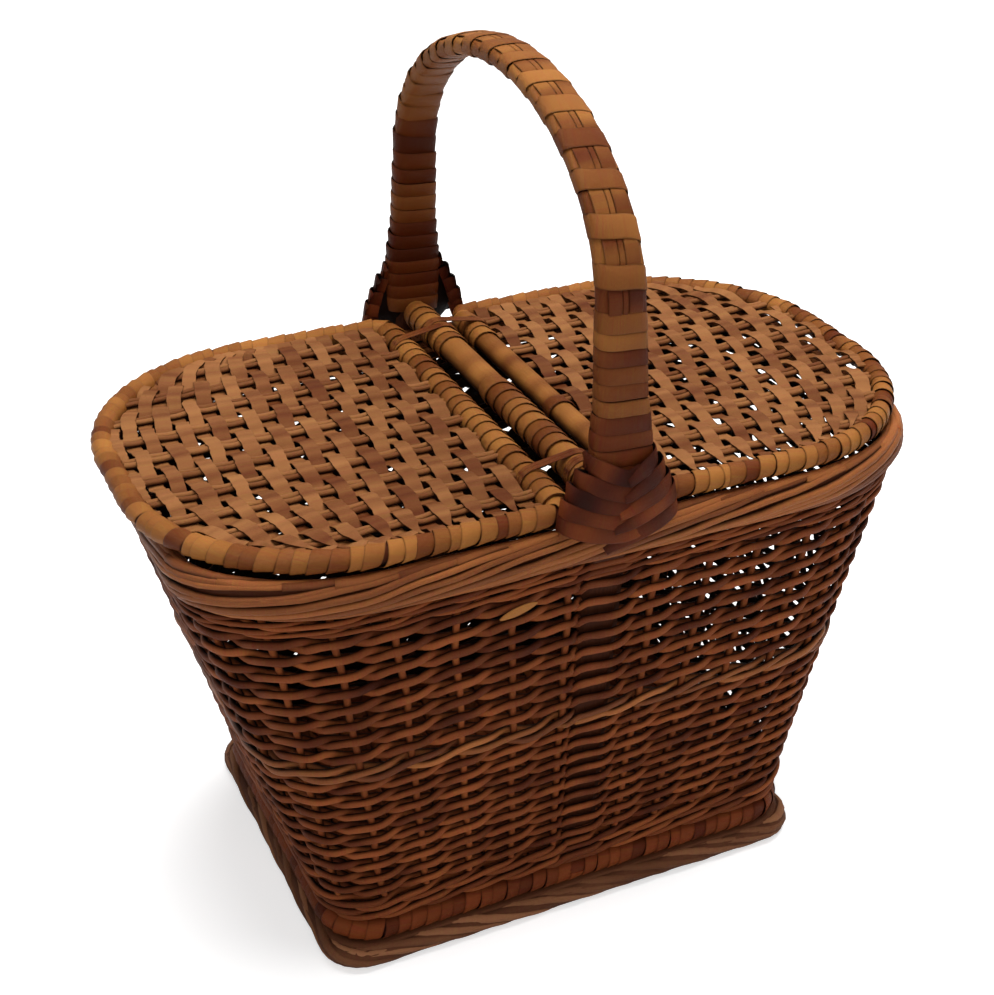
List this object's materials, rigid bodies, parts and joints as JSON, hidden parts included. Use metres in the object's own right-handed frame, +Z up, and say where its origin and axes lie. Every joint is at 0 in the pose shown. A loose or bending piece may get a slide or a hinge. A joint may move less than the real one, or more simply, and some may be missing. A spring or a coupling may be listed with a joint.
{
  "type": "picnic basket",
  "caption": "Flared wicker picnic basket on a bordered foot, with an arched wrapped handle and two woven lids hinged beside a bar across the middle.",
  "frame": {"origin": "centre of the foot's underside, on the surface the basket stands on", "axes": "+X along the basket, +Y from the front to the back across it, +Z up"},
  "size_m": [0.4016, 0.2626, 0.4323],
  "materials": {
    "wall_willow": "stained and varnished willow rods",
    "rim_willow": "stained and varnished willow rods",
    "foot_willow": "stained and varnished willow rods",
    "wrap_willow": "varnished flat willow skein",
    "lid_willow": "varnished flat willow skein and rods",
    "dark_willow": "dark stained flat willow skein",
    "core_willow": "peeled willow rod"
  },
  "bodies": {
    "basket": {"foot_border": "foot_willow", "base_panel": "wall_willow", "base_hoop": "foot_willow", "bottom_wale": "wall_willow", "lower_wall": "wall_willow", "middle_wale": "rim_willow", "upper_wall": "wall_willow", "top_wale": "rim_willow", "rim_border": "rim_willow", "handle_bow": "core_willow", "handle_wrap": "wrap_willow", "handle_lap_left": "dark_willow", "handle_lap_right": "dark_willow", "front_handle_fan": "dark_willow", "back_handle_fan": "dark_willow", "centre_bar": "core_willow", "centre_bar_wrap": "wrap_willow", "left_front_hinge_loop": "dark_willow", "left_back_hinge_loop": "dark_willow", "right_front_hinge_loop": "dark_willow", "right_back_hinge_loop": "dark_willow"},
    "left_lid": {"left_lid_border": "wrap_willow", "left_lid_panel": "lid_willow", "left_hinge_rod": "core_willow", "left_hinge_rod_wrap": "wrap_willow"},
    "right_lid": {"right_lid_border": "wrap_willow", "right_lid_panel": "lid_willow", "right_hinge_rod": "core_willow", "right_hinge_rod_wrap": "wrap_willow"}
  },
  "joints": [
    {"name": "left_lid_hinge", "type": "hinge", "parent": "basket", "child": "left_lid", "pos_m": [-0.022, 0, 0.2493], "axis": [0, 1, 0], "range_deg": [0, 90]},
    {"name": "right_lid_hinge", "type": "hinge", "parent": "basket", "child": "right_lid", "pos_m": [0.022, 0, 0.2493], "axis": [0, -1, 0], "range_deg": [0, 90]}
  ]
}
